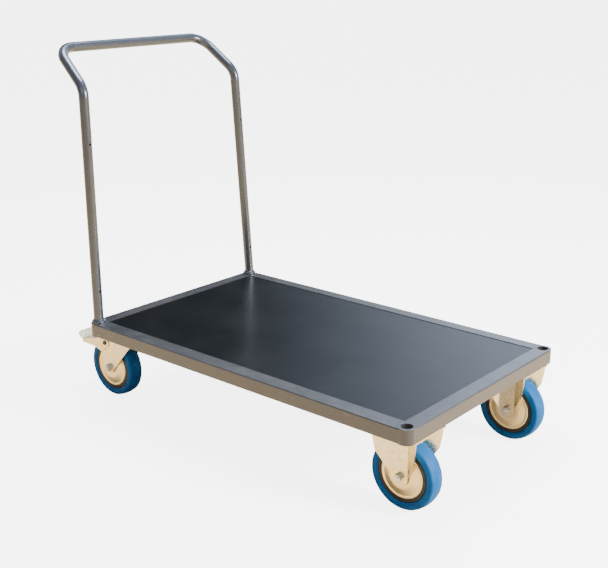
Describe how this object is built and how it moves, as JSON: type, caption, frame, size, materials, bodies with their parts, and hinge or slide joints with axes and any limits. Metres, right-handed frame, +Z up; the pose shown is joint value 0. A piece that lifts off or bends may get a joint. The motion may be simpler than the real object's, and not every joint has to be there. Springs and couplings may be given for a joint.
{
  "type": "platform cart",
  "caption": "Steel platform cart with a black inset deck, a plug-in push bar in corner sockets, fixed front casters and braked swivel rear casters with blue tyres.",
  "frame": {"origin": "on the floor, under the middle of the cart's overall box", "axes": "+X forward, the way the cart is pushed; +Y to the left; +Z up"},
  "size_m": [1.1514, 0.6, 0.9095],
  "materials": {
    "frame_paint": "grey metallic paint, satin",
    "bar_paint": "grey metallic paint, semi-gloss",
    "film_faced_deck": "black film-faced panel, semi-gloss",
    "blue_rubber": "blue elastic rubber, satin",
    "black_nylon": "black moulded nylon",
    "black_plastic": "black moulded plastic",
    "caster_zinc": "bright zinc plate on pressed steel",
    "guard_zinc": "bright zinc plate on spun sheet",
    "zinc_fasteners": "blue zinc plate",
    "bearing_steel": "ground bearing steel",
    "dark_rivet": "black oxide steel",
    "brake_pad": "black brake rubber"
  },
  "bodies": {
    "platform": {"deck": "film_faced_deck", "deck_screws": "zinc_fasteners", "caster_bolts": "zinc_fasteners", "caster_nuts": "zinc_fasteners", "rail_left": "frame_paint", "rail_right": "frame_paint", "rail_front": "frame_paint", "rail_rear": "frame_paint", "front_left_socket": "frame_paint", "front_right_socket": "frame_paint", "caster_bearer_front": "frame_paint", "cross_member_front": "frame_paint", "rear_left_socket": "frame_paint", "rear_right_socket": "frame_paint", "caster_bearer_rear": "frame_paint", "cross_member_rear": "frame_paint", "front_left_fork": "caster_zinc", "front_right_fork": "caster_zinc", "front_axle_sleeves": "zinc_fasteners", "front_axle_bolts": "zinc_fasteners", "rear_left_top_plate": "caster_zinc", "rear_left_kingpin": "zinc_fasteners", "rear_left_balls": "bearing_steel", "rear_right_top_plate": "caster_zinc", "rear_right_kingpin": "zinc_fasteners", "rear_right_balls": "bearing_steel"},
    "push_bar": {"push_bar": "bar_paint", "bar_end_caps": "black_plastic", "stop_collar_left": "bar_paint", "stop_collar_right": "bar_paint"},
    "front_left_wheel": {"front_left_tyre": "blue_rubber", "front_left_rim": "black_nylon", "front_left_guards": "guard_zinc", "front_left_bearing": "bearing_steel"},
    "front_right_wheel": {"front_right_tyre": "blue_rubber", "front_right_rim": "black_nylon", "front_right_guards": "guard_zinc", "front_right_bearing": "bearing_steel"},
    "rear_left_caster": {"rear_left_fork": "caster_zinc", "rear_left_axle_sleeve": "zinc_fasteners", "rear_left_axle_bolt": "zinc_fasteners", "rear_left_pedal_rivets": "dark_rivet"},
    "rear_left_wheel": {"rear_left_tyre": "blue_rubber", "rear_left_rim": "black_nylon", "rear_left_guards": "guard_zinc", "rear_left_bearing": "bearing_steel"},
    "rear_left_brake": {"rear_left_pedal": "caster_zinc", "rear_left_brake_pad": "brake_pad"},
    "rear_right_caster": {"rear_right_fork": "caster_zinc", "rear_right_axle_sleeve": "zinc_fasteners", "rear_right_axle_bolt": "zinc_fasteners", "rear_right_pedal_rivets": "dark_rivet"},
    "rear_right_wheel": {"rear_right_tyre": "blue_rubber", "rear_right_rim": "black_nylon", "rear_right_guards": "guard_zinc", "rear_right_bearing": "bearing_steel"},
    "rear_right_brake": {"rear_right_pedal": "caster_zinc", "rear_right_brake_pad": "brake_pad"}
  },
  "joints": [
    {"name": "push_bar_lift", "type": "slide", "parent": "platform", "child": "push_bar", "axis": [0, 0, 1], "range_m": [0, 0.1]},
    {"name": "front_left_roll", "type": "hinge", "parent": "platform", "child": "front_left_wheel", "pos_m": [0.49575, 0.219, 0.08], "axis": [0, 1, 0], "continuous": true},
    {"name": "front_right_roll", "type": "hinge", "parent": "platform", "child": "front_right_wheel", "pos_m": [0.49575, -0.219, 0.08], "axis": [0, 1, 0], "continuous": true},
    {"name": "rear_left_swivel", "type": "hinge", "parent": "platform", "child": "rear_left_caster", "pos_m": [-0.38625, 0.219, 0.17], "axis": [0, 0, 1], "continuous": true},
    {"name": "rear_left_roll", "type": "hinge", "parent": "rear_left_caster", "child": "rear_left_wheel", "pos_m": [-0.43875, 0.219, 0.08], "axis": [0, 1, 0], "continuous": true},
    {"name": "rear_left_brake_press", "type": "hinge", "parent": "rear_left_caster", "child": "rear_left_brake", "pos_m": [-0.44825, 0.219, 0.148], "axis": [0, -1, 0], "range_deg": [0, 11]},
    {"name": "rear_right_swivel", "type": "hinge", "parent": "platform", "child": "rear_right_caster", "pos_m": [-0.38625, -0.219, 0.17], "axis": [0, 0, 1], "continuous": true},
    {"name": "rear_right_roll", "type": "hinge", "parent": "rear_right_caster", "child": "rear_right_wheel", "pos_m": [-0.43875, -0.219, 0.08], "axis": [0, 1, 0], "continuous": true},
    {"name": "rear_right_brake_press", "type": "hinge", "parent": "rear_right_caster", "child": "rear_right_brake", "pos_m": [-0.44825, -0.219, 0.148], "axis": [0, -1, 0], "range_deg": [0, 11]}
  ]
}
